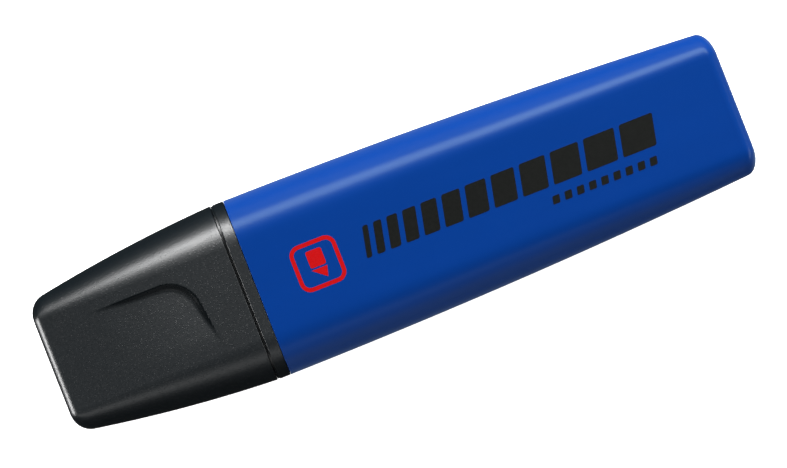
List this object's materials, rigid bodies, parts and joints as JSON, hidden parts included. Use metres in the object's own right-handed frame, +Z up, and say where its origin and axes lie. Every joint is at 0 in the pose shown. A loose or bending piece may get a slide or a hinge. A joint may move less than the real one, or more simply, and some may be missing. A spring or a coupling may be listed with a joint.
{
  "type": "highlighter",
  "caption": "Flat pull-cap highlighter with a chisel nib, a wrapped fibre ink reservoir and a cap with a thumb recess.",
  "frame": {"origin": "under the middle of the marker's length and width, on the plane that it lies on", "axes": "+X along the marker from the cap's end to the barrel's tail, +Y across the broad face, +Z up out of the broad face that carries the printing"},
  "size_m": [0.105, 0.0266, 0.017],
  "materials": {
    "barrel_plastic": "semi-gloss moulded polypropylene, deep blue",
    "holder_plastic": "satin moulded polypropylene, black",
    "nib_fibre": "pressed porous fibre soaked with blue ink",
    "core_fibre": "bundled polyester fibre soaked with blue ink",
    "film_plastic": "thin wrapped film",
    "cap_plastic": "fine-grained satin moulded polypropylene, black",
    "sleeve_plastic": "smooth moulded polyethylene, dark grey"
  },
  "bodies": {
    "body": {"barrel": "barrel_plastic", "nib_holder": "holder_plastic", "nib": "nib_fibre", "reservoir_core": "core_fibre", "reservoir_film": "film_plastic"},
    "cap": {"cap_shell": "cap_plastic", "cap_inner_sleeve": "sleeve_plastic"}
  },
  "joints": [
    {"name": "cap_pull", "type": "slide", "parent": "body", "child": "cap", "axis": [-1, 0, 0], "range_m": [0, 0.045]}
  ]
}
